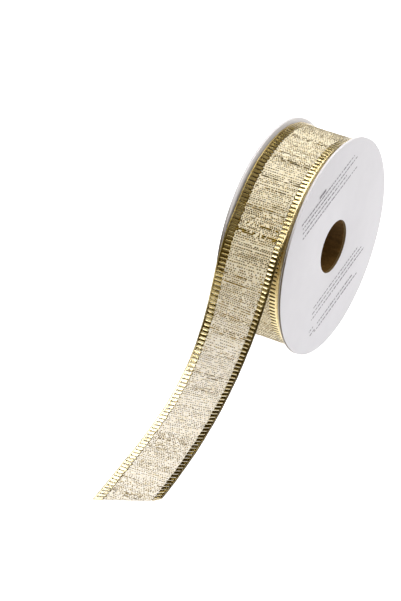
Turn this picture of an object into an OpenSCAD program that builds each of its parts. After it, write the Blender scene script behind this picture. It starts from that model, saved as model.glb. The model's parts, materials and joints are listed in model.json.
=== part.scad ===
// Ribbon spool: a cardboard spool of wired, gold-edged ribbon, standing on its two rims.
// The origin is the centre of the core's bore. X runs along the bore and out of the printed
// face, the loose end of the ribbon comes off towards -Y, and Z is up.

/* [Flanges and core] */
// Diameter of the two round flanges
flange_d = 90; // [80:1:110]
// Thickness of one flange, with its two papers
flange_t = 0.9; // [0.6:0.05:2]
// Thickness of each paper on a flange board
paper_t = 0.1; // [0.05:0.05:0.2]
// Diameter of the hole through the whole spool
bore_d = 22; // [18:0.5:26]
// Wall thickness of the core tube
core_wall = 2; // [1.5:0.1:3]
// Thickness of the glue film between the core tube and each flange
glue_t = 0.1; // [0.05:0.05:0.2]

/* [Ribbon] */
// Width of the ribbon, edge to edge
ribbon_w = 25; // [20:1:40]
// Thickness of one layer of ribbon
layer_t = 0.4; // [0.3:0.05:0.6]
// Width of the gold band along each edge, with its wire
band_w = 4; // [2:0.5:5]
// Width of the wired hem at the very edge
wire_w = 0.4; // [0.3:0.05:0.6]
// Thickness of the wired hem on the loose layers
wire_t = 0.25; // [0.2:0.05:0.3]
// Gap between the ribbon's edge and the flange on each side, on average
side_gap = 1.05; // [0.6:0.05:1.5]
// How far the ribbon lies off the spool's middle, towards the front flange if positive
ribbon_shift = -0.2; // [-0.3:0.1:0.3]
// Depth of the outer layer's surface below the flange rim
rim_drop = 1.8; // [1:0.1:4]
// Gap between the outer layer and the wound roll under it
turn_gap = 0.3; // [0.3:0.05:0.5]

/* [Starting tape] */
// Thickness of the tape that holds the ribbon's first turn on the core
tape_t = 0.1; // [0.05:0.05:0.2]
// Width of the tape
tape_w = 20; // [10:1:24]
// Angle of the core that the tape covers
tape_angle = 60; // [30:5:120]

/* [Loose end] */
// Height above the horizontal, as an angle on the roll, at which the loose end leaves
leave_angle = 42; // [38:1:46]
// Angle of the outer layer that is left open under the loose end
open_angle = 12; // [10:1:20]
// Number of straight pieces along the loose end
tail_steps = 44; // [24:4:80]

/* [Hidden] */
$fn = 144;
eps = 1;  // how far a cutter runs past the faces that it cuts

flange_r = flange_d / 2;
bore_r = bore_d / 2;
core_r = bore_r + core_wall;
gap_w = ribbon_w + 2 * side_gap;  // between the flanges' inner faces
inner_x = gap_w / 2;              // inner face of a flange
outer_x = inner_x + flange_t;     // outer face of a flange

turn_r = flange_r - rim_drop;        // outer surface of the outer layer
turn_mid_r = turn_r - layer_t / 2;   // middle of the outer layer
roll_r = turn_r - layer_t - turn_gap;  // outer surface of the wound roll
roll_in_r = core_r + tape_t;           // the roll starts on the tape

hem = wire_w / ribbon_w;   // shares of the ribbon's width, from its left edge
band = band_w / ribbon_w;

// Where the loose end leaves the roll, in the Y-Z plane.
leave = [-turn_mid_r * cos(leave_angle), turn_mid_r * sin(leave_angle)];

// The two edges of the loose end, in the Y-Z plane of a 90 mm spool, about 12 mm apart.
// The left edge bulges and drops steeply, and its tip rests on the table. The right edge
// runs flatter and is cut shorter, so the ribbon is a little twisted and its end is slanted.
path_d = 90;
left_path = [
    [-40.4, 20.3], [-46.6, 10.1], [-51.1, -0.9], [-56.2, -11.7], [-63.4, -21.3], [-72.6, -29],
    [-83.3, -34.5], [-94.8, -38.1], [-106.6, -40.4], [-118.6, -42], [-130.4, -43.5], [-140.1, -44.7]
];
right_path = [
    [-40.4, 20.3], [-46.8, 10.1], [-53.1, -0.1], [-60.4, -9.5], [-69, -17.9], [-78.6, -25],
    [-89.2, -30.7], [-100.4, -35.1], [-111.9, -38.3], [-123.6, -40.5], [-130.8, -41.4]
];
path_scale = flange_d / path_d;
left_edge = concat([leave], left_path * path_scale);
right_edge = concat([leave], right_path * path_scale);
tail_start = 0.004;  // the loose end starts just past the line that it bends about

paper_white = [0.90, 0.90, 0.91];
board_grey = [0.80, 0.79, 0.78];
kraft_brown = [0.42, 0.29, 0.15];
glue_white = [0.93, 0.92, 0.86];
tape_clear = [0.85, 0.83, 0.72];
cream = [0.89, 0.85, 0.74];
gold = [0.66, 0.53, 0.24];
dark_gold = [0.40, 0.31, 0.12];

// Turns a shape drawn around Z so that it lies around X, with its own X along Y.
module around_x() {
    rotate([90, 0, 90]) children();
}

// A flat ring around X, from x0 to x1.
module ring(inner_r, outer_r, x0, x1) {
    around_x() translate([0, 0, x0]) difference() {
        cylinder(r = outer_r, h = x1 - x0);
        translate([0, 0, -eps]) cylinder(r = inner_r, h = x1 - x0 + 2 * eps);
    }
}

// Part of a ring around X. Angles run from +Y towards +Z.
module arc_band(inner_r, thick, x0, x1, from_angle, sweep) {
    around_x() rotate([0, 0, from_angle]) rotate_extrude(angle = sweep)
        translate([inner_r, x0]) square([thick, x1 - x0]);
}

// One ring of a flange. side is 1 at the front and -1 at the back, and depth_0 and depth_1
// are measured from the flange's outer face.
module flange_ring(side, depth_0, depth_1) {
    a = side * (outer_x - depth_0);
    b = side * (outer_x - depth_1);
    ring(bore_r, flange_r, min(a, b), max(a, b));
}

module flange_board(side) {
    color(board_grey) flange_ring(side, paper_t, flange_t - paper_t);
}

module face_paper(side) {
    color(paper_white) flange_ring(side, 0, paper_t);
}

module lining_paper(side) {
    color(paper_white) flange_ring(side, flange_t - paper_t, flange_t);
}

module core_tube() {
    color(kraft_brown) ring(bore_r, core_r, -inner_x + glue_t, inner_x - glue_t);
}

module glue_film(side) {
    a = side * inner_x;
    b = side * (inner_x - glue_t);
    color(glue_white) ring(bore_r, core_r, min(a, b), max(a, b));
}

module starting_tape() {
    color(tape_clear) arc_band(core_r, tape_t, -tape_w / 2, tape_w / 2, 0, tape_angle);
}

// Place along X of a share u of the ribbon's width, from 0 at its left edge to 1.
function ribbon_x(u) = ribbon_shift + (u - 0.5) * ribbon_w;

// A strip across the ribbon, from share u0 to share u1 of its width, in the wound roll.
module roll_strip(u0, u1) {
    ring(roll_in_r, roll_r, ribbon_x(u0), ribbon_x(u1));
}

// The same strip in the outer layer, which is open under the loose end.
module turn_strip(u0, u1, thick) {
    arc_band(turn_mid_r - thick / 2, thick, ribbon_x(u0), ribbon_x(u1),
        180 - leave_angle + open_angle, 360 - open_angle);
}

// Catmull-Rom curve through a path of points, for t from 0 to 1.
function curve(path, t) =
    let (last = len(path) - 1, i = min(floor(t * last), last - 1), f = t * last - i)
    let (b = path[i], c = path[i + 1])
    let (a = i > 0 ? path[i - 1] : 2 * b - c, d = i + 2 <= last ? path[i + 2] : 2 * c - b)
    (2 * b + (c - a) * f + (2 * a - 5 * b + 4 * c - d) * f * f
        + (3 * b - a - 3 * c + d) * f * f * f) / 2;

function across(t, u) = curve(left_edge, t) * (1 - u) + curve(right_edge, t) * u;

// Unit vector square to the loose end at t, away from the roll.
function outward(t) =
    let (d = across(min(t + 0.01, 1), 0.5) - across(max(t - 0.01, 0), 0.5))
    [d[1], -d[0]] / norm(d);

// A corner of the loose end's cross-section, h above its middle surface.
function tail_point(t, u, h) =
    let (p = across(t, u) + outward(t) * h)
    [ribbon_x(u), p[0], p[1]];

// The same strip in the loose end.
module tail_strip(u0, u1, thick) {
    points = [
        for (k = [0:tail_steps], c = [[u0, 1], [u1, 1], [u1, -1], [u0, -1]])
            tail_point(tail_start + (1 - tail_start) * k / tail_steps, c[0], c[1] * thick / 2)
    ];
    sides = [
        for (k = [0:tail_steps - 1], j = [0:3], half = [0, 1])
            let (a = 4 * k + j, b = 4 * k + (j + 1) % 4)
            half == 0 ? [a, a + 4, b] : [b, a + 4, b + 4]
    ];
    end = 4 * tail_steps;
    polyhedron(
        points = points,
        faces = concat(sides, [[0, 1, 2], [0, 2, 3], [end, end + 2, end + 1], [end, end + 3, end + 2]])
    );
}

module roll_cloth() {
    color(cream) roll_strip(band, 1 - band);
}

module roll_left_gold_band() {
    color(gold) roll_strip(hem, band);
}

module roll_right_gold_band() {
    color(gold) roll_strip(1 - band, 1 - hem);
}

module roll_left_wire() {
    color(dark_gold) roll_strip(0, hem);
}

module roll_right_wire() {
    color(dark_gold) roll_strip(1 - hem, 1);
}

module turn_cloth() {
    color(cream) turn_strip(band, 1 - band, layer_t);
}

module turn_left_gold_band() {
    color(gold) turn_strip(hem, band, layer_t);
}

module turn_right_gold_band() {
    color(gold) turn_strip(1 - band, 1 - hem, layer_t);
}

module turn_left_wire() {
    color(dark_gold) turn_strip(0, hem, wire_t);
}

module turn_right_wire() {
    color(dark_gold) turn_strip(1 - hem, 1, wire_t);
}

module tail_cloth() {
    color(cream) tail_strip(band, 1 - band, layer_t);
}

module tail_left_gold_band() {
    color(gold) tail_strip(hem, band, layer_t);
}

module tail_right_gold_band() {
    color(gold) tail_strip(1 - band, 1 - hem, layer_t);
}

module tail_left_wire() {
    color(dark_gold) tail_strip(0, hem, wire_t);
}

module tail_right_wire() {
    color(dark_gold) tail_strip(1 - hem, 1, wire_t);
}

flange_board(1);  // front_flange_board
face_paper(1);  // front_flange_face_paper
lining_paper(1);  // front_flange_lining_paper
flange_board(-1);  // back_flange_board
face_paper(-1);  // back_flange_face_paper
lining_paper(-1);  // back_flange_lining_paper
core_tube();
glue_film(1);  // front_glue_film
glue_film(-1);  // back_glue_film
starting_tape();
roll_cloth();
roll_left_gold_band();
roll_right_gold_band();
roll_left_wire();
roll_right_wire();
turn_cloth();
turn_left_gold_band();
turn_right_gold_band();
turn_left_wire();
turn_right_wire();
tail_cloth();
tail_left_gold_band();
tail_right_gold_band();
tail_left_wire();
tail_right_wire();
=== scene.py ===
"""Ribbon spool: woven wired ribbon with gold edges on a cardboard spool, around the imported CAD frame.

Shapes are worked out in millimetres and become metres in solid(). Along the ribbon, s runs from
the line where the loose end leaves the roll: s > 0 on the loose end, s < 0 back round the roll.
Across it, u runs from the left edge. h is the height above the ribbon's middle surface, away
from the spool's axis.
"""

import json
import math

import bmesh
import bpy
import numpy as np
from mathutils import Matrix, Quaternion, Vector


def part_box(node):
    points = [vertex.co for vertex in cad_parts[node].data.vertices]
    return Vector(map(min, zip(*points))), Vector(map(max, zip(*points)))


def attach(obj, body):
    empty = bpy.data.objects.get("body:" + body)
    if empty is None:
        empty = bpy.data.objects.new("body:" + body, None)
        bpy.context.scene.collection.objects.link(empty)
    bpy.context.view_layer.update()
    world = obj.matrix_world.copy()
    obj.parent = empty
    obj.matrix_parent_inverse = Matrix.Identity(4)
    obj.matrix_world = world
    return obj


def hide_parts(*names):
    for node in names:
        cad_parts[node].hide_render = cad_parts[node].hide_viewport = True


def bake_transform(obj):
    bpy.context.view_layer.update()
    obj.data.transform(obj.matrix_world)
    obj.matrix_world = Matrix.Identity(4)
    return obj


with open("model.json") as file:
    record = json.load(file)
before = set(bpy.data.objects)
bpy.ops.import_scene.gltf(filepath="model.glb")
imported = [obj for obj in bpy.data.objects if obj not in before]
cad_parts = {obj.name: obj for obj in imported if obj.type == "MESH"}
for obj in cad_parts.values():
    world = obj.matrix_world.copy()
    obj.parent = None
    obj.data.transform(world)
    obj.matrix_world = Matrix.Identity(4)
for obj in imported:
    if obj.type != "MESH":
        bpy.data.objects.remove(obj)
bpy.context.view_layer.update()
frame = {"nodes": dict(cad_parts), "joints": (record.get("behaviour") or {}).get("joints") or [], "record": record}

MM = 0.001
rng = np.random.default_rng(7)

# ---------------------------------------------------------------- sizes, from the frame


def low(node):
    """The low corner of a node's box."""
    return np.array(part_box(node)[0]) / MM


def high(node):
    """The high corner of a node's box."""
    return np.array(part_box(node)[1]) / MM


JOINTS = {joint["name"]: joint for joint in frame["joints"]}
MOUNTS = {mount["name"]: mount for mount in frame["record"]["mounts"]}

FLANGE_R = high("front_flange_board")[2]
BORE_R = MOUNTS["core_bore"]["dims"]["r_mm"]
CORE_R = high("core_tube")[2]
HEM_PULL = 0.2       # how much narrower the hems make the ribbon
EDGE_LEFT = low("turn_left_wire")[0]
EDGE_RIGHT = high("turn_right_wire")[0] - HEM_PULL
WIDTH = EDGE_RIGHT - EDGE_LEFT
LEAVE = np.array(JOINTS["loose_end_bend"]["pos_m"])[1:] / MM
TURN_R = math.hypot(*LEAVE)
LEAVE_ANGLE = math.atan2(LEAVE[1], LEAVE[0])

# ---------------------------------------------------------------- the ribbon's design

# A value that changes along the ribbon is given as what it starts with, and then its changes,
# each (by how much, from which s, over what length). A wave is (size, length, phase).

# The layers on the spool
PITCH = 0.45         # radius that one turn adds
TURN_TURNS = 1.03    # turns in the outer layer
ROLL_START = 1.6     # turns inward at which the wound roll begins
CORE_GAP = 0.3       # from the core out to the middle of its innermost turn
ROLL_END = (TURN_R - CORE_R - CORE_GAP) / PITCH
ROLL_ROWS = 96       # rows of points in one turn of the roll
ROLL_EDGE_IN = 0.1   # how far inside the ribbon's edge the roll's gold strips end
ROLL_EDGE_T = 0.4    # their thickness

# The cloth
CLOTH_T = 0.2        # its thickness
CLOTH_ROW = 0.8      # distance between its rows of points
CLOTH_COLUMNS = 32   # points across it
CLOTH_INSET = 0.3    # how far inside the ribbon's edge it ends, in the hem
CUT_FROM = 100.0     # where the rows begin to slant towards the cut end

# The wired hem
HEM_R = 0.21         # its radius
HEM_FLAT = 0.8       # how flat it is pressed
HEM_ROW = 0.15       # distance between its rows of points
HEM_SIDES = 10       # points round it
BINDING_PITCH = 0.55   # of the thread bound round the hem
BINDING_SWELL = 0.015  # the thread's share of the hem's radius
WIRE_R = 0.14        # the wire's radius
WIRE_ROW = 0.6
WIRE_SIDES = 8
WIRE_START = 0.2     # where the wire begins in each stretch
WIRE_OUT = 0.6       # how far it stands out at the cut end

# The woven gold border
BAND_OUT = 0.3       # it runs from here
BAND_IN = 3.85       # to here, from the ribbon's edge
BAND_H = 0.3         # half its thickness on a ridge
CREASE_H = (0.1, (-0.06, 10, 60))  # and in a crease, which gets deeper along the loose end
CREASE_BACK = 0.35   # how much less far in the border reaches in a crease
RIDGE_PITCH = 1.8    # of the ridges across the border
RIDGE_SHARE = 0.64   # of the pitch, what the ridge itself takes
RIDGE_FROM = 1.15    # where the ridges begin
RIDGE_ROUND = 0.025  # how much lower a ridge is at its two sides
RIDGE_THREADS = 4
RIDGE_THREAD_H = 0.006  # how high its threads stand
RIDGE_U = np.array([0.0, 0.1, 0.5, 0.86, 0.93, 1.0])  # points along a ridge, from RIDGE_FROM to its inner end
RIDGE_H = np.array([0.9, 1.0, 1.0, 1.0, 0.94, 0.4])   # and the share of its height that it has there
RIDGE_TOP_ROWS = 7
WALL_ROWS = np.array([0.1, 0.3, 0.6, 0.88])  # rows between a ridge and the middle of a crease
NEAREST_ROWS = 0.02  # rows nearer than this to a stretch's ends are left out
RIDGE_KINDS = 157    # ridges until their small differences repeat
RIDGE_TILTS = 0.045  # spread of the slope of a ridge's top
RIDGE_ENDS = 0.12    # spread of how far in it reaches
SELVEDGE_U = [BAND_OUT, BAND_OUT + 0.2, RIDGE_FROM - 0.15]  # points across the smooth strip by the hem
SELVEDGE_H = [0.25, 0.27, 0.27]                             # and half its thickness there
SLANT_OVER = 8       # length over which the border's rows turn to the slanted cut

# The gold weft yarns
YARN_PITCH = 0.8     # mean distance between them
YARN_W = 0.34        # width of a yarn
YARN_HALF_T = 0.02
YARN_STEP = 0.5      # distance from where a yarn lies over the cloth to where it dives
YARN_LIFT = 0.23     # how far from the cloth's middle it lies there
YARN_FROM = BAND_IN - 0.7          # where a yarn starts, under the left border
YARN_TO = WIDTH - BAND_IN + 0.3    # where it ends, under the right one
YARN_CUT_GAP = 0.2   # least distance to the cut
YARN_FEWEST = 4      # steps that a yarn needs to be there
YARN_WANDER = 0.01   # spread of its path from step to step
YARN_SHAKE = 0.06    # spread of the steps' lengths
YARN_TWIST = 0.12    # spread of its twist, in radians
YARN_SPREAD = (0.75, 1.25)  # from the narrowest yarn to the widest
YARNS_DENSE = (1, (-1, 40, 25))  # the yarns float more and are wider where this is 1
YARNS_THICKEN = (0, (1, -8, 14))  # wider again from here
YARNS_THIN = (1, (-1, 22, 14))    # to here
THIN_YARN = 0.78     # width of a yarn, as a share of YARN_W, without any of these
DENSE_YARN = 0.24    # what dense adds
THICK_YARN = 0.3     # what thickened adds

# How the ribbon is bent across its width
FOLD = 4.2           # where the stiff border bends up from the cloth
FOLD_ROUND = 0.4     # how wide the round of that bend is
LEFT_TILT = (0.13, (-0.1, 0, 92))  # slope of the left border
LEFT_WAVES = ((0.012, 23, 0.4), (0.01, 9.1, 2))
RIGHT_TILT = (0.01, (0.12, -27, 22), (0.12, -10, 36))  # and of the right one
RIGHT_WAVES = ((0.012, 19, 1.4), (0.01, 7.7, 0))
SAG = 0.15           # how low the cloth hangs between the borders
SAG_WAVES = ((0.16, 47, 0.5), (0.1, 21, 2.2))
SAG_WAVES_OVER = 30  # length of the loose end over which these grow to their size

# The loose end's two edges in the Y-Z plane, as points about 12 mm apart
LEFT_PATH = [
    (-40.4, 20.3), (-46.6, 10.1), (-51.1, -0.9), (-56.2, -11.7), (-63.4, -21.3), (-72.6, -29),
    (-83.3, -34.5), (-94.8, -38.1), (-106.6, -40.4), (-118.6, -42), (-130.4, -43.5), (-140.1, -44.7),
]
RIGHT_PATH = [
    (-40.4, 20.3), (-46.8, 10.1), (-53.1, -0.1), (-60.4, -9.5), (-69, -17.9), (-78.6, -25),
    (-89.2, -30.7), (-100.4, -35.1), (-111.9, -38.3), (-123.6, -40.5), (-130.8, -41.4),
]
CURVE_STEPS = 60     # points on the curve from one of them to the next
STATION = 0.5        # distance between the stations that the loose end is worked out at
FINE_STEP = 0.1      # and between the points of the right edge that are tried for each
PAST_TIP = 30        # how far the right edge is carried on beyond its last point
SMOOTHED = 6         # stations on each side that a point of the right edge is averaged over


def edge_curve(path):
    """Points close together on a Catmull-Rom curve through path. It leaves the roll along its tangent."""
    tangent = np.array([-math.sin(LEAVE_ANGLE), math.cos(LEAVE_ANGLE)])
    points = np.array([LEAVE, *path], float)
    ghost = points[1] - 2 * np.linalg.norm(points[1] - points[0]) * tangent
    points = np.vstack([ghost, points, 2 * points[-1] - points[-2]])
    f = np.linspace(0, 1, CURVE_STEPS, endpoint=False)[:, None]
    parts = []
    for a, b, c, d in zip(points, points[1:], points[2:], points[3:]):
        parts.append((2 * b + (c - a) * f + (2 * a - 5 * b + 4 * c - d) * f**2
                      + (3 * b - a - 3 * c + d) * f**3) / 2)
    return np.vstack([*parts, points[-2][None]])


def lengths(points):
    """How far along the line each of its points is."""
    return np.r_[0, np.cumsum(np.linalg.norm(np.diff(points, axis=0), axis=1))]


def along(points, s):
    """The points of a line at the lengths s."""
    run = lengths(points)
    return np.stack([np.interp(s, run, points[:, k]) for k in range(points.shape[1])], -1)


def unit(vectors):
    return vectors / np.linalg.norm(vectors, axis=-1, keepdims=True)


def square_across(left, way, right):
    """For each point of the left edge, the point of the right edge square across from it, smoothed."""
    nearest = []
    for point, forward in zip(left, way):
        nearest.append(np.abs((right - point) @ forward).argmin())
    found = right[np.maximum.accumulate(nearest)]
    window = 2 * SMOOTHED + 1
    columns = []
    for column in found.T:
        padded = np.pad(column, SMOOTHED, mode="reflect", reflect_type="odd")
        columns.append(np.convolve(padded, np.ones(window) / window, "valid"))
    return np.stack(columns, -1)


def outward_normals(s, left, right):
    """The unit normals of the loose end's surface, on the side away from the spool's axis."""
    flow = np.gradient((left + right) / 2, s, axis=0)
    across = np.c_[np.full(len(s), WIDTH), right - left]
    normal = unit(np.cross(np.c_[np.zeros(len(s)), flow], across))
    return normal if normal[0] @ np.r_[0, LEAVE] > 0 else -normal


class LooseEnd:
    """The surface of the loose end: both edges at even stations, each line across square to the left edge."""

    left_curve = edge_curve(LEFT_PATH)
    length = lengths(left_curve)[-1]
    s = np.arange(0, length + STATION, STATION)
    s[-1] = length
    left = along(left_curve, s)
    right_curve = edge_curve(RIGHT_PATH)
    tip = right_curve[-1]
    tip_way = unit(tip - right_curve[-2])
    right_fine = np.vstack([along(right_curve, np.arange(0, lengths(right_curve)[-1], FINE_STEP)),
                            tip + tip_way * np.arange(0, PAST_TIP, FINE_STEP)[:, None]])
    right = square_across(left, unit(np.gradient(left, s, axis=0)), right_fine)
    cut_right = float(np.interp(0, (right - tip) @ tip_way, s))
    middle = (left + right) / 2
    normal = outward_normals(s, left, right)


def waves(s, *terms):
    """A smooth wavering of s: a sum of sines, each (size, length of wave, phase)."""
    return sum(size * np.sin(2 * np.pi * s / wave + phase) for size, wave, phase in terms)


def ease(x):
    """0 up to x = 0 and 1 from x = 1, with a smooth step between them."""
    x = np.clip(x, 0, 1)
    return x * x * (3 - 2 * x)


def eased(s, value, *changes):
    """A value that changes smoothly along s, each change (by how much, from which s, over what length)."""
    for change, start, run in changes:
        value = value + change * ease((s - start) / run)
    return value


def fold_up(distance):
    """Height gained per unit of slope at a distance outside the fold, rounded at the fold."""
    return FOLD_ROUND * np.logaddexp(0, distance / FOLD_ROUND)


def camber(s, u):
    """How far the cloth lies off its flat shape: the stiff borders tilt up and the middle sags."""
    left = eased(s, *LEFT_TILT) + waves(s, *LEFT_WAVES)
    right = eased(s, *RIGHT_TILT) + waves(s, *RIGHT_WAVES)
    rise = left * fold_up(FOLD - u) + right * fold_up(u - WIDTH + FOLD)
    off_middle = np.abs(2 * u / WIDTH - 1)
    sag = (1 - off_middle**2) * (-SAG + ease(s / SAG_WAVES_OVER) * waves(s, *SAG_WAVES))
    return rise + sag


def on_roll(turns, u, h):
    """Points of the wound ribbon, turns inward from where the loose end leaves."""
    angle = LEAVE_ANGLE - 2 * np.pi * turns
    r = TURN_R - PITCH * turns + h
    return np.stack([EDGE_LEFT + u + 0 * r, r * np.cos(angle), r * np.sin(angle)], -1)


def s_at(turns):
    """s on the spiral that the ribbon is wound in, turns inward from where the loose end leaves."""
    return -(2 * np.pi * TURN_R * turns - np.pi * PITCH * turns**2)


def turns_at(s):
    """The other way round: how many turns inward s is."""
    return (TURN_R - np.sqrt(TURN_R**2 + PITCH * np.minimum(s, 0) / np.pi)) / PITCH


def on_loose_end(s, u, h):
    """Points of the loose end."""
    columns = (*LooseEnd.left.T, *LooseEnd.right.T, *LooseEnd.normal.T)
    left_y, left_z, right_y, right_z, *normal = [np.interp(s, LooseEnd.s, column) for column in columns]
    share = u / WIDTH
    x = EDGE_LEFT + u + normal[0] * h
    y = left_y * (1 - share) + right_y * share + normal[1] * h
    z = left_z * (1 - share) + right_z * share + normal[2] * h
    return np.stack([x, y, z], -1)


def ribbon(s, u, h):
    """Points of the outer layer and the loose end, for arrays of s, u and h."""
    s, u, h = np.broadcast_arrays(np.asarray(s, float), u, h)
    h = h + camber(s, u)
    wound = on_roll(turns_at(s), u, h)
    loose = on_loose_end(np.maximum(s, 0), u, h)
    return np.where((s < 0)[..., None], wound, loose)


def cut_at(u):
    """Where the slanted cut is, at u across."""
    share = u / WIDTH
    return LooseEnd.length * (1 - share) + LooseEnd.cut_right * share


def slanted(s, u):
    """s moved so that the rows near the cut end slant with the cut."""
    share = np.clip((s - CUT_FROM) / (LooseEnd.length - CUT_FROM), 0, None)
    return s + share * (cut_at(u) - LooseEnd.length)


# ---------------------------------------------------------------- mesh building


def solid(name, points, faces, material, coords=None, smooth=True):
    """One object. coords has two numbers for each point, which its material can read."""
    mesh = bpy.data.meshes.new(name)
    mesh.from_pydata((np.asarray(points) * MM).tolist(), [], np.asarray(faces).tolist())
    if coords is not None:
        layer = mesh.uv_layers.new(name="ribbon")
        corner = np.zeros(len(mesh.loops), np.int32)
        mesh.loops.foreach_get("vertex_index", corner)
        layer.data.foreach_set("uv", np.asarray(coords, np.float32)[corner].ravel())
    work = bmesh.new()
    work.from_mesh(mesh)
    bmesh.ops.recalc_face_normals(work, faces=work.faces)
    work.to_mesh(mesh)
    work.free()
    mesh.polygons.foreach_set("use_smooth", np.full(len(mesh.polygons), smooth))
    mesh.materials.append(material)
    made = bpy.data.objects.new(name, mesh)
    bpy.context.scene.collection.objects.link(made)
    return made


def piece(name, shells, material, smooth=True):
    """One object from closed shells. A shell is (rings of points, coordinates), its ends closed flat."""
    points, coords, faces, caps, start = [], [], [], [], 0
    for rings, uv in shells:
        count, size = rings.shape[:2]
        index = start + np.arange(count * size).reshape(count, size)
        nxt = np.roll(index, -1, axis=1)
        faces.append(np.stack([index[:-1], nxt[:-1], nxt[1:], index[1:]], -1).reshape(-1, 4))
        half = size // 2
        for end in (index[0], index[-1]):
            top, under = end[:half], end[half:][::-1]
            caps.append(np.stack([top[:-1], top[1:], under[1:], under[:-1]], -1))
        points.append(rings.reshape(-1, 3))
        coords.append(uv.reshape(-1, 2))
        start += count * size
    made = solid(name, np.vstack(points), np.vstack(faces + caps), material, np.vstack(coords), smooth)
    smooth_faces = np.full(len(made.data.polygons), smooth)
    smooth_faces[sum(map(len, faces)):] = False
    made.data.polygons.foreach_set("use_smooth", smooth_faces)
    return made


def torus_faces(count, size):
    """Faces of a surface that closes on itself both ways, from count rings of size points."""
    index = np.arange(count * size).reshape(count, size)
    right = np.roll(index, -1, axis=1)
    return np.stack([index, right, np.roll(right, -1, axis=0), np.roll(index, -1, axis=0)], -1).reshape(-1, 4)


def turned(name, profile, material, steps, wobble):
    """A ring turned round X from a closed outline of (x, r), with a slight wobble along X."""
    angle = np.linspace(0, 2 * np.pi, steps, endpoint=False)[:, None]
    x, r = np.array(profile, float).T
    sway = wobble * np.sin(2 * angle + 0.7) * (r / FLANGE_R) ** 2
    rings = np.stack([x + sway, r * np.cos(angle), r * np.sin(angle)], -1)
    coords = np.stack([np.degrees(angle) + 0 * r, r + 0 * angle], -1).reshape(-1, 2)
    return solid(name, rings.reshape(-1, 3), torus_faces(*rings.shape[:2]), material, coords)


# ---------------------------------------------------------------- materials

# Colours, in linear light
FLECK_BROWN = (0.70, 0.54, 0.28)
BEIGE = (0.88, 0.79, 0.58)
CREAM = (0.96, 0.91, 0.79)
IVORY = (0.97, 0.94, 0.86)
# The next two tints are painted shade, darker and warmer, and painted light, whiter and cooler, on the cloth
CLOTH_SHADE_TINT = (0.94, 0.91, 0.82)
CLOTH_LIGHT_TINT = (1, 1, 1.06)
GOLD_BRIGHT = (0.88, 0.71, 0.33)
GOLD_DEEP = (0.60, 0.43, 0.12)
# The next five colours are painted highlights and painted shade on the gold border
GOLD_HIGHLIGHT = (0.95, 0.88, 0.62)
GOLD_SHADE = (0.22, 0.15, 0.035)
CREASE_SHADE = (0.085, 0.055, 0.01)
CREASE_HIGHLIGHT = (0.95, 0.85, 0.55)
HEM_SHADE = (0.07, 0.05, 0.02)
# The yarns' gold: the border's gold painted darker, as painted shade
YARN_BRIGHT = (0.38, 0.235, 0.006)
YARN_DEEP = (0.14, 0.085, 0.002)
WIRE_DARK = (0.42, 0.34, 0.2)
WIRE_LIGHT = (0.62, 0.53, 0.36)
HOLE_EDGE_BROWN = (0.16, 0.11, 0.05)
BOARD_DARK = (0.60, 0.58, 0.59)
BOARD_LIGHT = (0.76, 0.74, 0.76)
# Painted shade on the boards' rims, low down
BOARD_SHADE = (0.10, 0.07, 0.035)
PUNCHED_DARK = (0.13, 0.085, 0.035)
PUNCHED_LIGHT = (0.24, 0.17, 0.08)
KRAFT_DARK = (0.06, 0.030, 0.007)
KRAFT_BROWN = (0.14, 0.074, 0.02)
KRAFT_LIGHT = (0.26, 0.15, 0.05)
INK_DARK = (0.10, 0.09, 0.11)
INK_WORN = (0.30, 0.28, 0.31)
GLUE_DARK = (0.20, 0.13, 0.05)
GLUE_LIGHT = (0.34, 0.24, 0.11)
TAPE_DARK = (0.55, 0.47, 0.3)
TAPE_LIGHT = (0.66, 0.6, 0.43)

WEFT_RIB = 0.42      # length of one wave of the cloth's weave along the ribbon
WARP_RIB = 0.84      # and across it
THREAD_PITCH = 0.15  # of the fine threads on the gold border
HEM_WIDE = 0.44      # how far in the hem's rougher finish, and the right hem's painted shade, reach
PAPER_IN_HOLE = 0.06  # how far round the hole the papers' cut edge is dark brown
BOARD_IN_HOLE = 1.0   # and the board's
BOARD_SHADE_FADES = (15.75, 32.4)  # heights between which the painted shade on the boards' rims fades out
BOARD_SHADE_MOST = 0.9  # how strong that painted shade is below them
STREAKS = 2.6        # how often a millimetre the ribbon's tone changes along it

# Stretches of the ribbon, as s, over which painted light or shade changes, and how strong it gets
CLOTH_SHADE_FADES = (16.8, 58.8)  # the cloth's painted shade, darker and warmer, turns to painted light, whiter and cooler
ROLL_LIGHT_AND_SHADE = (7.2, 31.2)      # the roll's painted highlight and its widened painted crease shade fade
ROLL_HIGHLIGHT = 0.3
CREASE_WIDENS = 0.065        # how much the painted crease shade widens for each millimetre in from the edge, as a share of the ridges' pitch
RIGHT_SHADE_GROWS = (4, 20)        # the right border gets painted shade on its ridges, with painted highlights in its creases
RIGHT_SHADE_SHARE = 0.6
LEFT_HIGHLIGHT_GROWS = (21, 70)        # the left border gets a whiter painted highlight
LEFT_HIGHLIGHT = 0.55
HEM_SHADE_GROWS = (0, 40)      # the right hem gets painted shade
HEM_SHADE_MOST = 0.8


def grey(level):
    return (level, level, level)


def cool_white(level):
    return (level, level - 0.01, level + 0.03)


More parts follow.
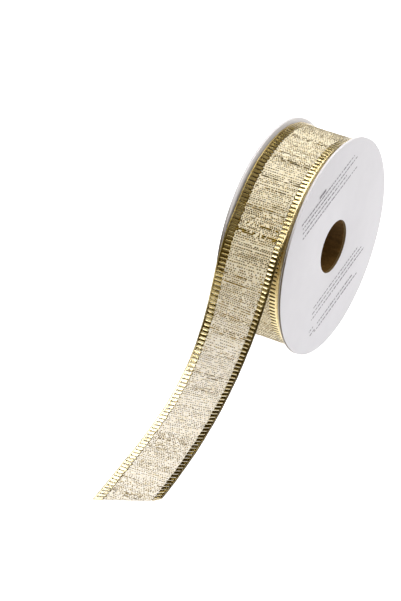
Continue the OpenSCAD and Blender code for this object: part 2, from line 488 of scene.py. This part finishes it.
class Nodes:
    """Short names for building one material's node tree."""

    def __init__(self, name):
        self.material = bpy.data.materials.new(name)
        self.material.use_nodes = True
        self.tree = self.material.node_tree
        self.shader = self.tree.nodes["Principled BSDF"]

    def add(self, kind, inputs=(), **settings):
        node = self.tree.nodes.new(kind)
        for key, value in settings.items():
            setattr(node, key, value)
        for key, value in dict(inputs).items():
            self.put(node.inputs[key], value)
        return node

    def put(self, socket, value):
        """Links a node's output, or sets a plain number, vector or colour."""
        if isinstance(value, bpy.types.NodeSocket):
            self.tree.links.new(value, socket)
        elif socket.type == "RGBA":
            socket.default_value = (*value, 1)
        else:
            socket.default_value = value

    def set(self, **values):
        for key, value in values.items():
            self.put(self.shader.inputs[key.replace("_", " ")], value)

    def math(self, how, a, b=0.0, c=0.0):
        node = self.add("ShaderNodeMath", operation=how)
        for socket, value in zip(node.inputs, (a, b, c)):
            self.put(socket, value)
        return node.outputs[0]

    def times(self, a, b):
        return self.math("MULTIPLY", a, b)

    def place(self):
        """(s, u) of the ribbon, or (angle in degrees, radius) on a turned ring, from the mesh."""
        uv = self.add("ShaderNodeUVMap", uv_map="ribbon").outputs[0]
        split = self.add("ShaderNodeSeparateXYZ", {0: uv})
        return split.outputs[0], split.outputs[1]

    def object_place(self):
        """The place on the object, in metres."""
        return self.add("ShaderNodeTexCoord").outputs["Object"]

    def stretched(self, scale):
        """The place on the object, scaled by another factor along each axis."""
        return self.add("ShaderNodeMapping", {"Vector": self.object_place(), "Scale": scale}).outputs[0]

    def vector(self, x, y=0.0, z=0.0):
        return self.add("ShaderNodeCombineXYZ", {0: x, 1: y, 2: z}).outputs[0]

    def noise(self, vector, scale=1.0, detail=2.0, rough=0.5):
        inputs = {"Vector": vector, "Scale": scale, "Detail": detail, "Roughness": rough}
        return self.add("ShaderNodeTexNoise", inputs).outputs[0]

    def streaks(self, s, u, along, across, seed=0.0, detail=3.0):
        """Noise that changes so many times a millimetre along the ribbon and across it."""
        return self.noise(self.vector(self.times(s, along), self.times(u, across), seed), 1.0, detail)

    def wave(self, value, length):
        return self.math("SINE", self.times(value, 2 * math.pi / length))

    def ramp(self, share, *stops):
        """A colour for a share from 0 to 1, through stops of (share, colour)."""
        node = self.add("ShaderNodeValToRGB", {0: share})
        ramp = node.color_ramp
        while len(ramp.elements) < len(stops):
            ramp.elements.new(0.5)
        for element, (position, colour) in zip(ramp.elements, stops):
            element.position = position
            element.color = (*colour, 1)
        return node.outputs[0]

    def fade(self, share, start, end, low=0.0, high=1.0):
        """From low to high as a share from 0 to 1 goes from start to end."""
        return self.ramp(share, (start, grey(low)), (end, grey(high)))

    def between(self, value, start, end, low=0.0, high=1.0):
        """From low to high as a value goes from start to end."""
        run = end - start
        return self.fade(self.math("MULTIPLY_ADD", value, 1 / run, -start / run), 0.0, 1.0, low, high)

    def mix(self, share, a, b, how="MIX"):
        """a where share is 0 and b where it is 1."""
        node = self.add("ShaderNodeMix", data_type="RGBA", blend_type=how)
        for index, value in ((0, share), (6, a), (7, b)):
            self.put(node.inputs[index], value)
        return node.outputs[2]

    def bump(self, height, depth):
        """Fine relief, depth millimetres deep."""
        node = self.add("ShaderNodeBump", {"Height": height, "Distance": depth * MM})
        self.put(self.shader.inputs["Normal"], node.outputs[0])


def cloth_material():
    """Ivory weave with fine ribs and darker flecks. Painted shade makes it darker and warmer on the roll and the
    loose end's start, and painted light makes it whiter and cooler further on.
    """
    n = Nodes("ribbon_cloth")
    s, u = n.place()
    weft = n.wave(s, WEFT_RIB)
    warp = n.wave(u, WARP_RIB)
    lines = n.streaks(s, u, STREAKS, 0.16)
    flecks = n.streaks(s, u, 1.4, 1.2, seed=5.0, detail=2.0)
    tone = n.math("ADD", n.times(lines, 0.45), n.times(flecks, 0.55))
    colour = n.ramp(tone, (0.30, FLECK_BROWN), (0.42, BEIGE), (0.55, CREAM), (0.75, IVORY))
    # Painted shade and light: darker and warmer on the roll and the loose end's start, whiter and cooler further
    # on
    tint = n.mix(n.between(s, *CLOTH_SHADE_FADES), CLOTH_SHADE_TINT, CLOTH_LIGHT_TINT)
    weave = n.math("MULTIPLY_ADD", n.times(weft, warp), 0.5, n.times(weft, 0.5))
    shade = n.math("MULTIPLY_ADD", weave, 0.06, 0.94)
    tinted = n.mix(1.0, colour, tint, how="MULTIPLY")
    shaded = n.add("ShaderNodeHueSaturation", {"Value": shade, "Color": tinted}).outputs[0]
    n.set(Base_Color=shaded, Roughness=0.72, Sheen_Weight=0.25, Sheen_Roughness=0.4, Specular_IOR_Level=0.35)
    n.bump(n.math("ADD", weave, n.times(lines, 1.5)), 0.06)
    return n.material


def gold_tone(n, s, u, bright, deep):
    """The colour of metallic yarn, uneven within a ridge and from ridge to ridge, and its unevenness."""
    uneven = n.streaks(s, u, STREAKS, 0.6)
    colour = n.mix(n.fade(uneven, 0.38, 0.62), deep, bright)
    ridge = n.math("FLOOR", n.math("MULTIPLY_ADD", s, 1 / RIDGE_PITCH, 0.5))
    each = n.noise(n.vector(ridge), 2.7, 0.0)
    return n.mix(n.fade(each, 0.35, 0.6, 0.6, 0.0), colour, deep), uneven


def border_creases(n, s, from_edge, right, on_roll):
    """Nearly 1 in the creases between the ridges, where shade is painted, or on the loose end's right border
    painted highlights. On the roll's right border they widen inward.
    """
    wedge = n.times(n.times(from_edge, CREASE_WIDENS), n.times(right, on_roll))
    off_ridge = n.math("PINGPONG", n.times(s, 1 / RIDGE_PITCH), 0.5)
    crease = n.fade(n.math("ADD", off_ridge, wedge), 0.36, 0.44, 0.0, 0.92)
    return n.times(crease, n.math("GREATER_THAN", from_edge, RIDGE_FROM))


def gold_border_material():
    """Woven gold border with painted light and shade: a whiter painted highlight on the loose end's left side and
    on the roll's right side, painted shade in the creases, and on the loose end's right side painted shade on the
    ridges and hem, with painted highlights in the creases.
    """
    n = Nodes("gold_weave")
    s, u = n.place()
    colour, uneven = gold_tone(n, s, u, GOLD_BRIGHT, GOLD_DEEP)
    from_edge = n.math("MINIMUM", u, n.math("SUBTRACT", WIDTH, u))
    right = n.math("GREATER_THAN", u, WIDTH / 2)
    on_roll = n.between(s, *ROLL_LIGHT_AND_SHADE, 1.0, 0.0)
    right_tail = n.times(right, n.between(s, *RIGHT_SHADE_GROWS))
    crease = border_creases(n, s, from_edge, right, on_roll)
    # Painted highlight: the gold whitened on the loose end's left border and on the roll's right border
    pale = n.mix(right, n.between(s, *LEFT_HIGHLIGHT_GROWS, 0.0, LEFT_HIGHLIGHT), n.times(on_roll, ROLL_HIGHLIGHT))
    colour = n.mix(pale, colour, GOLD_HIGHLIGHT)
    # Painted shade on the ridges of the loose end's right border
    colour = n.mix(n.times(right_tail, RIGHT_SHADE_SHARE), colour, GOLD_SHADE)
    # Painted shade in the creases; on the loose end's right border, painted highlights there instead
    colour = n.mix(crease, colour, n.mix(right_tail, CREASE_SHADE, CREASE_HIGHLIGHT))
    hem = n.math("LESS_THAN", from_edge, HEM_WIDE)
    # Painted shade on the loose end's right hem
    hem_shade_mask = n.times(n.times(hem, right), n.between(s, *HEM_SHADE_GROWS, 0.0, HEM_SHADE_MOST))
    colour = n.mix(hem_shade_mask, colour, HEM_SHADE)
    rough = n.math("MULTIPLY_ADD", hem, 0.2, n.math("MULTIPLY_ADD", uneven, 0.09, 0.08))
    glaze = n.math("MULTIPLY_ADD", crease, -0.6, 0.6)
    n.set(Base_Color=colour, Metallic=1.0, Roughness=rough)
    n.set(Coat_Weight=glaze, Coat_Roughness=0.1, Coat_IOR=1.8)
    n.bump(n.math("MULTIPLY_ADD", n.wave(s, THREAD_PITCH), 0.1, uneven), 0.05)
    return n.material


def gold_yarn_material():
    """The flat gold yarns in the cloth: the border's gold painted darker as shade, and without its shine."""
    n = Nodes("gold_yarn")
    s, u = n.place()
    colour, uneven = gold_tone(n, s, u, YARN_BRIGHT, YARN_DEEP)
    n.set(Base_Color=colour, Metallic=1.0, Roughness=n.math("MULTIPLY_ADD", uneven, 0.12, 0.2))
    n.bump(uneven, 0.05)
    return n.material


def wire_material():
    n = Nodes("edge_wire")
    fine = n.noise(n.object_place(), 900.0, 3.0)
    n.set(Base_Color=n.mix(fine, WIRE_DARK, WIRE_LIGHT), Metallic=1.0,
          Roughness=n.math("MULTIPLY_ADD", fine, 0.2, 0.2))
    n.bump(fine, 0.02)
    return n.material


def paper_material(name, level):
    """White paper: a faint mottle and a soft shine. Its cut edge in the hole is dark brown."""
    n = Nodes(name)
    mottle = n.noise(n.object_place(), 160.0, 4.0)
    fibre = n.noise(n.object_place(), 1400.0, 3.0)
    white = n.mix(mottle, cool_white(level), cool_white(level + 0.05))
    in_hole = n.math("LESS_THAN", n.place()[1], BORE_R + PAPER_IN_HOLE)
    n.set(Base_Color=n.mix(in_hole, white, HOLE_EDGE_BROWN),
          Roughness=n.math("MULTIPLY_ADD", fibre, 0.16, 0.42), Specular_IOR_Level=0.4)
    n.bump(n.math("ADD", n.times(mottle, 2.0), fibre), 0.03)
    return n.material


def board_material():
    """The cut edge of white board: streaks of fibres, painted shade low down, and brown where the hole is."""
    n = Nodes("flange_board")
    layers = n.noise(n.stretched((2600.0, 160.0, 160.0)), 1.0, 4.0)
    edge = n.mix(layers, BOARD_DARK, BOARD_LIGHT)
    height = n.add("ShaderNodeSeparateXYZ", {"Vector": n.object_place()}).outputs[2]
    metres = [level * MM for level in BOARD_SHADE_FADES]
    # Painted shade: the rim darker low down
    painted_shade = n.between(height, *metres, BOARD_SHADE_MOST, 0.0)
    edge = n.mix(painted_shade, edge, BOARD_SHADE)
    punched = n.mix(layers, PUNCHED_DARK, PUNCHED_LIGHT)
    in_hole = n.math("LESS_THAN", n.place()[1], BORE_R + BOARD_IN_HOLE)
    n.set(Base_Color=n.mix(in_hole, edge, punched), Roughness=0.9)
    n.bump(layers, 0.12)
    return n.material


def kraft_material():
    """Raw brown kraft board, spiral wound: streaks round the tube, and short fibres."""
    n = Nodes("kraft_tube")
    streaks = n.noise(n.stretched((90.0, 420.0, 420.0)), 1.0, 4.0)
    fibre = n.noise(n.object_place(), 1500.0, 4.0, 0.65)
    tone = n.math("ADD", n.times(streaks, 0.6), n.times(fibre, 0.4))
    n.set(Base_Color=n.ramp(tone, (0.3, KRAFT_DARK), (0.55, KRAFT_BROWN), (0.75, KRAFT_LIGHT)),
          Roughness=0.88, Specular_IOR_Level=0.25)
    n.bump(tone, 0.12)
    return n.material


def ink_material():
    n = Nodes("grey_ink")
    worn = n.noise(n.object_place(), 1500.0, 2.0)
    n.set(Base_Color=n.mix(worn, INK_DARK, INK_WORN), Roughness=0.55)
    return n.material


def glue_material():
    n = Nodes("dried_glue")
    cloudy = n.noise(n.object_place(), 700.0, 3.0)
    n.set(Base_Color=n.mix(cloudy, GLUE_DARK, GLUE_LIGHT), Roughness=0.35, Subsurface_Weight=0.1)
    n.bump(cloudy, 0.03)
    return n.material


def tape_material():
    n = Nodes("clear_tape")
    film = n.noise(n.object_place(), 260.0, 2.0)
    n.set(Base_Color=n.mix(film, TAPE_DARK, TAPE_LIGHT), Roughness=0.18)
    n.bump(film, 0.02)
    return n.material


def floor_material():
    """Plain pale floor, lit a little from within as a light table is."""
    n = Nodes("pale_floor")
    n.set(Base_Color=grey(FLOOR_SHADE), Roughness=0.9, Emission_Color=grey(1.0), Emission_Strength=FLOOR_GLOW)
    return n.material


# ---------------------------------------------------------------- camera, lights and floor

LENS = 191.4
CAMERA_AZIMUTH = 27.85
CAMERA_ELEVATION = 34.32
CAMERA_ROLL = 2.18
CAMERA_DISTANCE = 1272.5
CAMERA_TARGET = (-27.4, -31.8, -22.5)

FLOOR_GLOW = 1.05
FLOOR_SHADE = 0.35
FLOOR_GAP = 0.02     # from the floor up to the flanges' rims
FLOOR_SIDE = 700.0   # how far the floor reaches to each side
FLOOR_FRONT = -420.0
FLOOR_BACK = 1500.0
WORLD_STUDIO = (0.058, 0.041, 0.005)
WORLD_BACKDROP = 1.0


def direction(azimuth, elevation):
    """The way from the object to something at that azimuth, 0 at -Y and 90 at +X, and elevation."""
    a, e = math.radians(azimuth), math.radians(elevation)
    return Vector((math.sin(a) * math.cos(e), -math.cos(a) * math.cos(e), math.sin(e)))


def make_camera():
    data = bpy.data.cameras.new("camera")
    data.lens = LENS
    data.sensor_width = 36
    data.clip_start = 0.05
    data.clip_end = 50
    camera = bpy.data.objects.new("camera", data)
    back = direction(CAMERA_AZIMUTH, CAMERA_ELEVATION)
    camera.location = (Vector(CAMERA_TARGET) + back * CAMERA_DISTANCE) * MM
    camera.rotation_mode = "QUATERNION"
    level = (-back).to_track_quat("-Z", "Y")
    camera.rotation_quaternion = level @ Quaternion((0, 0, 1), math.radians(CAMERA_ROLL))
    bpy.context.scene.collection.objects.link(camera)
    bpy.context.scene.camera = camera


def softbox(name, azimuth, elevation, distance, wide, tall, power, mirrored=True, lights=True):
    """An area light that faces the object: it can be left out of reflections, or be there for them only."""
    data = bpy.data.lights.new(name, "AREA")
    data.shape = "RECTANGLE"
    data.size = wide
    data.size_y = tall
    data.energy = power
    light = bpy.data.objects.new(name, data)
    way = direction(azimuth, elevation)
    light.location = way * distance
    light.rotation_mode = "QUATERNION"
    light.rotation_quaternion = way.to_track_quat("Z", "Y")
    light.visible_glossy = mirrored
    light.visible_diffuse = lights
    bpy.context.scene.collection.objects.link(light)


def make_world():
    """A dim warm studio all round, which metal reflects, and a white backdrop beyond the floor."""
    world = bpy.data.worlds.new("studio")
    world.use_nodes = True
    tree = world.node_tree
    backdrop = tree.nodes["Background"]
    backdrop.inputs[0].default_value = (*grey(WORLD_BACKDROP), 1)
    dim = tree.nodes.new("ShaderNodeBackground")
    dim.inputs[0].default_value = (*WORLD_STUDIO, 1)
    path = tree.nodes.new("ShaderNodeLightPath")
    mix = tree.nodes.new("ShaderNodeMixShader")
    tree.links.new(path.outputs["Is Camera Ray"], mix.inputs[0])
    tree.links.new(dim.outputs[0], mix.inputs[1])
    tree.links.new(backdrop.outputs[0], mix.inputs[2])
    tree.links.new(mix.outputs[0], tree.nodes["World Output"].inputs[0])
    bpy.context.scene.world = world


def make_floor():
    """The table: it fills the picture, but ends in front so that the gold mirrors the dim room there."""
    z = -FLANGE_R - FLOOR_GAP
    corners = [(-FLOOR_SIDE, FLOOR_FRONT, z), (FLOOR_SIDE, FLOOR_FRONT, z),
               (FLOOR_SIDE, FLOOR_BACK, z), (-FLOOR_SIDE, FLOOR_BACK, z)]
    solid("floor", corners, [(0, 1, 2, 3)], floor_material(), smooth=False)


make_camera()
# Each light: azimuth and elevation in degrees, distance, width and height in metres, and watts.
softbox("strip_light", -99, 53, 1.2, 1.34, 0.38, 8.0, lights=False)
softbox("ceiling_light", -90, 82, 1.3, 2.6, 0.6, 1.3)
softbox("side_light", 80, 42, 1.3, 0.8, 0.8, 5.2, mirrored=False)
softbox("key_light", -105, 66, 1.2, 1.0, 0.8, 10.0, mirrored=False)
softbox("back_panel", -165, 12, 1.3, 0.9, 0.35, 1.1, lights=False)
softbox("top_light", 160, 65, 1.3, 0.7, 0.7, 10.5, mirrored=False)
softbox("front_light", -10, 8, 1.3, 0.8, 0.8, 3.6, mirrored=False)
make_world()
make_floor()
bpy.context.scene.view_settings.view_transform = "Standard"

# ---------------------------------------------------------------- the ribbon's shells

RIDGE_TILT = rng.normal(0, RIDGE_TILTS, RIDGE_KINDS)
RIDGE_END = rng.normal(0, RIDGE_ENDS, RIDGE_KINDS)

CLOTH = cloth_material()
GOLD = gold_border_material()
YARN = gold_yarn_material()
WIRE = wire_material()


def coordinates(s, u):
    """(s, u) for each point of a shell, from arrays that fit together."""
    return np.stack(np.broadcast_arrays(s, u), -1)


def from_side(side, distance):
    """u at a distance in from the left edge, side -1, or from the right one, side 1."""
    return distance if side < 0 else WIDTH - distance


def flat_ring(u0, u1, count, thick):
    """u and h of a ring of points over the top of a flat strip and back under it."""
    over = np.linspace(u0, u1, count)
    u = np.r_[over, over[::-1]][None]
    h = np.r_[np.full(count, thick / 2), np.full(count, -thick / 2)][None]
    return u, h


def cloth_shell(s0, s1):
    """The cloth between the two hems. Near the cut end its rows slant with the cut."""
    rows = np.linspace(s0, s1, int((s1 - s0) / CLOTH_ROW) + 1)
    u, h = flat_ring(CLOTH_INSET, WIDTH - CLOTH_INSET, CLOTH_COLUMNS, CLOTH_T)
    s = slanted(rows[:, None], u)
    return ribbon(s, u, h), coordinates(s, u)


def hem_shell(side, s0, s1):
    """The rolled hem round the wire: a tube, faintly ridged by the thread that binds it."""
    s = np.arange(s0, s1, HEM_ROW)[:, None]
    s = np.minimum(s, cut_at(from_side(side, 0.0)))
    turn = np.linspace(0, 2 * np.pi, HEM_SIDES, endpoint=False)[None] + np.pi / HEM_SIDES
    r = HEM_R * (1 + BINDING_SWELL * np.sin(2 * np.pi * s / BINDING_PITCH + turn))
    u = from_side(side, HEM_R - r * np.cos(turn))
    return ribbon(s, u, HEM_FLAT * r * np.sin(turn)), coordinates(s, u)


def wire_shell(side, s0, s1):
    """The wire inside the hem. At the cut end it stands out a little."""
    end = min(s1, cut_at(from_side(side, 0.0))) + (WIRE_OUT if s1 > 0 else 0)
    s = np.arange(s0 + WIRE_START, end, WIRE_ROW)[:, None]
    turn = np.linspace(0, 2 * np.pi, WIRE_SIDES, endpoint=False)[None] + np.pi / WIRE_SIDES
    u = from_side(side, HEM_R - WIRE_R * np.cos(turn))
    return ribbon(s, u, WIRE_R * np.sin(turn)), coordinates(s, u)


def ridge_profile(s):
    """At s: the ridge's number, 1 on its top to 0 in the middle of a crease, and the way to its middle."""
    number = np.floor(s / RIDGE_PITCH + 0.5)
    off = s / RIDGE_PITCH - number
    out = np.clip((np.abs(off) - RIDGE_SHARE / 2) / (0.5 - RIDGE_SHARE / 2), 0, 1)
    return number.astype(int) % RIDGE_KINDS, 1 - out, off * RIDGE_PITCH


def border_rows(s0, s1):
    """Where the border's rows are: over the ridges' tops and down their walls to the creases."""
    wall = RIDGE_SHARE / 2 + (0.5 - RIDGE_SHARE / 2) * WALL_ROWS
    steps = np.r_[-wall[::-1], np.linspace(-0.5, 0.5, RIDGE_TOP_ROWS) * RIDGE_SHARE, wall, 0.5]
    ridges = np.arange(math.floor(s0 / RIDGE_PITCH), s1 / RIDGE_PITCH + 1)[:, None]
    s = (ridges + steps).ravel() * RIDGE_PITCH
    return np.r_[s0, s[(s > s0 + NEAREST_ROWS) & (s < s1 - NEAREST_ROWS)], s1]


def border_section(s):
    """At s: half the border's thickness, and how far in from the ribbon's edge it reaches."""
    number, top, off = ridge_profile(s)
    across = 2 * off / (RIDGE_SHARE * RIDGE_PITCH)
    threads = RIDGE_THREAD_H * np.cos(np.pi * RIDGE_THREADS * across)
    rounding = RIDGE_ROUND * np.minimum(across**2, 1)
    bottom = eased(s, *CREASE_H)
    height = bottom + top * (BAND_H - bottom + RIDGE_TILT[number] * off + (threads - rounding))
    reach = BAND_IN - CREASE_BACK * (1 - top) + RIDGE_END[number] * top
    return height, reach


def band_shell(side, s0, s1):
    """The woven gold border: ridges with narrow creases between them, and a toothed inner edge."""
    centre = from_side(side, BAND_IN / 2)
    s1 = min(s1, cut_at(centre))
    s = border_rows(s0, s1)
    height, reach = border_section(s)
    u = np.c_[np.tile(SELVEDGE_U, (len(s), 1)), RIDGE_FROM + (reach[:, None] - RIDGE_FROM) * RIDGE_U]
    h = np.c_[np.tile(SELVEDGE_H, (len(s), 1)), height[:, None] * RIDGE_H]
    u = from_side(side, np.c_[u, u[:, ::-1]])
    h = np.c_[h, -h[:, ::-1]]
    s = s[:, None]
    cut = (cut_at(u) - cut_at(centre)) if s1 > 0 else 0
    near_cut = np.clip((s - s1 + SLANT_OVER) / SLANT_OVER, 0, 1)
    return ribbon(s + near_cut * cut, u, h), coordinates(s, u)


def yarn_places(s0, s1):
    """Where the gold weft yarns lie: uneven, with close groups and thin stretches."""
    places, s = [], s0
    while s < s1:
        crowd = 1 + 0.25 * math.sin(s / 3.1) * math.sin(s / 7.7 + 1) + 0.15 * math.sin(s / 1.3)
        s += YARN_PITCH * rng.uniform(0.8, 1.2) / crowd
        places.append(s)
    return places[:-1]


def yarn_shells(s0, s1):
    """Flat gold yarns across the cloth. They show where they lie over it and are hidden where they dive."""
    shells = []
    flat = np.array([-0.5, 0.5, 0.5, -0.5])
    faces = YARN_HALF_T * np.array([1, 1, -1, -1])
    for row, middle in enumerate(yarn_places(s0, s1)):
        dense = eased(middle, *YARNS_DENSE)
        thick = eased(middle, *YARNS_THICKEN) * eased(middle, *YARNS_THIN)
        shift = row % 2 + rng.uniform(-0.3, 0.3)
        u = np.arange(YARN_FROM + YARN_STEP * shift, YARN_TO, YARN_STEP)
        u = u[middle < cut_at(u) - YARN_CUT_GAP]
        if len(u) < YARN_FEWEST:
            continue
        path = middle + np.cumsum(rng.normal(0, YARN_WANDER, len(u)))
        u = u + rng.normal(0, YARN_SHAKE, len(u))
        twist = rng.normal(0, YARN_TWIST, (len(u), 1))
        share = THIN_YARN + DENSE_YARN * dense + THICK_YARN * thick
        wide = YARN_W * rng.uniform(*YARN_SPREAD) * share * flat
        s = path[:, None] + wide * np.cos(twist)
        h = lifts(len(u), dense)[:, None] + faces + wide * np.sin(twist)
        u = np.repeat(u[:, None], 4, axis=1)
        shells.append((ribbon(s, u, h), coordinates(s, u)))
    return shells


def lifts(count, dense):
    """The yarn's height step by step: over, inside or under the cloth. Some rows float over it for longer."""
    over = np.arange(count) % 2 == 0
    if rng.random() < 0.1 + 0.1 * dense:
        over |= np.convolve(rng.random(count) < 0.22, [1, 1, 1], "same") > 0
    over &= rng.random(count) < 0.8 + 0.1 * dense
    under = ~over & (rng.random(count) < 0.3)
    return np.where(over, YARN_LIFT, np.where(under, -YARN_LIFT, 0.0))


TURN_FROM = s_at(TURN_TURNS)
END = LooseEnd.length


def dress(prefix, s0, s1):
    """All pieces of one stretch of ribbon: cloth, yarns, and the two gold edges with their wires."""
    cloth = piece(f"{prefix}_cloth_weave", [cloth_shell(s0, s1)], CLOTH)
    yarns = piece(f"{prefix}_gold_yarns", yarn_shells(s0, s1), YARN)
    made = [cloth, yarns]
    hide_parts(f"{prefix}_cloth")
    for side, word in ((-1, "left"), (1, "right")):
        shells = [hem_shell(side, s0, s1), band_shell(side, s0, s1)]
        edge = piece(f"{prefix}_{word}_gold_edge", shells, GOLD)
        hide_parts(f"{prefix}_{word}_gold_band")
        wire = piece(f"{prefix}_{word}_edge_wire", [wire_shell(side, s0, s1)], WIRE)
        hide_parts(f"{prefix}_{word}_wire")
        made += [edge, wire]
    return made


turn_pieces = dress("turn", TURN_FROM, 0.0)
tail_pieces = dress("tail", 0.0, END)
for made in turn_pieces:
    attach(made, "outer_turn")
for made in tail_pieces:
    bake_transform(made)

# ---------------------------------------------------------------- the wound roll


def roll_shell(u0, u1, thick):
    """One strip of the wound ribbon, as the spiral that it is, from the outer turns in to the core."""
    turns = np.arange(ROLL_START, ROLL_END, 1 / ROLL_ROWS)[:, None]
    u, h = flat_ring(u0, u1, 3, thick)
    return on_roll(turns, u, h), coordinates(s_at(turns), u)


roll = piece("roll_cloth_spiral", [roll_shell(BAND_IN, WIDTH - BAND_IN, CLOTH_T)], CLOTH)
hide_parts("roll_cloth")
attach(roll, "spool")
for word, ends in (("left", (ROLL_EDGE_IN, BAND_IN)), ("right", (WIDTH - BAND_IN, WIDTH - ROLL_EDGE_IN))):
    edge = piece(f"roll_{word}_gold_edge", [roll_shell(*ends, ROLL_EDGE_T)], GOLD)
    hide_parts(f"roll_{word}_gold_band", f"roll_{word}_wire")
    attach(edge, "spool")

# ---------------------------------------------------------------- the spool

# The same white paper at two levels: the face darker, and the lining lighter as painted light on the flanges'
# inner faces, which lie in shade
PAPER = paper_material("white_paper", 0.66)
LINING = paper_material("lining_paper", 0.89)
BOARD = board_material()
KRAFT = kraft_material()

FLANGE_STEPS = 256   # points round a flange
FLANGE_WOBBLE = 0.12
BOARD_CORNER = 0.05  # size of the board's worn corners
PAPER_CORNER = 0.03
BOARD_DENTS = [(0.25, 0.03), (0.4, 0.0), (0.55, 0.035), (0.72, 0.005)]  # (share of the thickness, depth)
CORE_ROWS = 80
CORE_STEPS = 144
SEAM_PITCH = 38      # length of the tube in which its spiral seam goes round once
SEAM_DEPTH = 0.12
SEAM_WIDE = 0.012    # share of that length


def softened(x0, x1, r0, r1, soft, dents):
    """The outline of a flat ring with its four corners worn round, and dents in its rim."""
    near = soft * 0.3
    rim = [(x0 + (x1 - x0) * share, r1 - depth) for share, depth in dents]
    return [
        (x0, r0 + soft), (x0, r1 - soft), (x0 + near, r1 - near), (x0 + soft, r1), *rim,
        (x1 - soft, r1), (x1 - near, r1 - near), (x1, r1 - soft), (x1, r0 + soft),
        (x1 - near, r0 + near), (x1 - soft, r0), (x0 + soft, r0), (x0 + near, r0 + near),
    ]


def flange(prefix):
    """A flange's three layers: the board between its two papers."""
    for part, suffix, material, slot, soft, dents in (
        ("flange_board", "board_disc", BOARD, "flange_board", BOARD_CORNER, BOARD_DENTS),
        ("flange_face_paper", "face_sheet", PAPER, "white_paper", PAPER_CORNER, []),
        ("flange_lining_paper", "lining_sheet", LINING, "white_paper", PAPER_CORNER, []),
    ):
        node = f"{prefix}_{part}"
        outline = softened(low(node)[0], high(node)[0], BORE_R, FLANGE_R, soft, dents)
        made = turned(f"{prefix}_{suffix}", outline, material, FLANGE_STEPS, FLANGE_WOBBLE)
        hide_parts(node)
        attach(made, "spool")


def core():
    """The kraft tube. A spiral seam runs round its inside and outside."""
    x0, x1 = low("core_tube")[0], high("core_tube")[0]
    x = np.linspace(x0, x1, CORE_ROWS)[:, None]
    angle = np.linspace(0, 2 * np.pi, CORE_STEPS, endpoint=False)[None]
    seam = (x / SEAM_PITCH + angle / (2 * np.pi)) % 1.0
    dent = SEAM_DEPTH * np.exp(-(((seam - 0.5) / SEAM_WIDE) ** 2))
    walls = []
    for r in (BORE_R + dent, CORE_R - dent):
        walls.append(np.stack([x + 0 * r, r * np.cos(angle), r * np.sin(angle)], -1))
    skin = np.concatenate([walls[0], walls[1][::-1]])
    made = solid("wound_core_tube", skin.reshape(-1, 3), torus_faces(*skin.shape[:2]), KRAFT)
    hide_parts("core_tube")
    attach(made, "spool")


flange("front")
flange("back")
core()
for node, material in (("front_glue_film", glue_material()), ("back_glue_film", glue_material()),
                       ("starting_tape", tape_material())):
    shown = frame["nodes"][node]
    shown.data.materials.clear()
    shown.data.materials.append(material)

# ---------------------------------------------------------------- the printed marks

PRINT_TILT = 11.5    # degrees
PRINT_TALL = 0.62    # the thickest stroke
PRINT_ROWS = [  # left end, right end, height
    (-24, 21, 31.4), (-23, 23, 29.1), (-24, 14, 26.8), (-24, 33, 24.3),
    (-20, 20, -17.6), (-25, 23, -19.9), (-24, 25, -22.2),
    (-25, -20, -26.9), (-17, 14, -28.0), (-23, -19, -29.2), (-19, 18, -30.3),
]
PRINT_RAGGED = 0.4   # how unevenly the rows begin
DASH = (0.7, 2.6)    # shortest and longest
DASH_GAP = (0.4, 0.8)
BOLD_MARK = (-8.8, -3.4, 33.2, 1.1)  # left, right, height, thickness
INK_T = 0.02


def dashes():
    """Plain dashes in rows, each (left, right, height, thickness)."""
    made = [BOLD_MARK]
    for left, right, height in PRINT_ROWS:
        p = left + rng.uniform(-PRINT_RAGGED, PRINT_RAGGED)
        while p < right:
            run = rng.uniform(*DASH)
            made.append((p, min(p + run, right), height, PRINT_TALL * rng.uniform(0.7, 1)))
            p += run + rng.uniform(*DASH_GAP)
    return made


def printed_marks():
    """Rows of plain dashes, which stand for small print and can't be read as anything."""
    x = high("front_flange_face_paper")[0] + INK_T / 2
    c, s = math.cos(math.radians(PRINT_TILT)), math.sin(math.radians(PRINT_TILT))
    shells = []
    for p0, p1, q, tall in dashes():
        corners = [(p0, q + tall / 2), (p1, q + tall / 2), (p1, q - tall / 2), (p0, q - tall / 2)]
        yz = [(c * p - s * r, s * p + c * r) for p, r in corners]
        rings = np.array([[(x + d, y, z) for y, z in yz] for d in (-INK_T, INK_T)])
        shells.append((rings, np.zeros((2, 4, 2))))
    made = piece("printed_marks", shells, ink_material(), smooth=False)
    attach(made, "spool")


printed_marks()
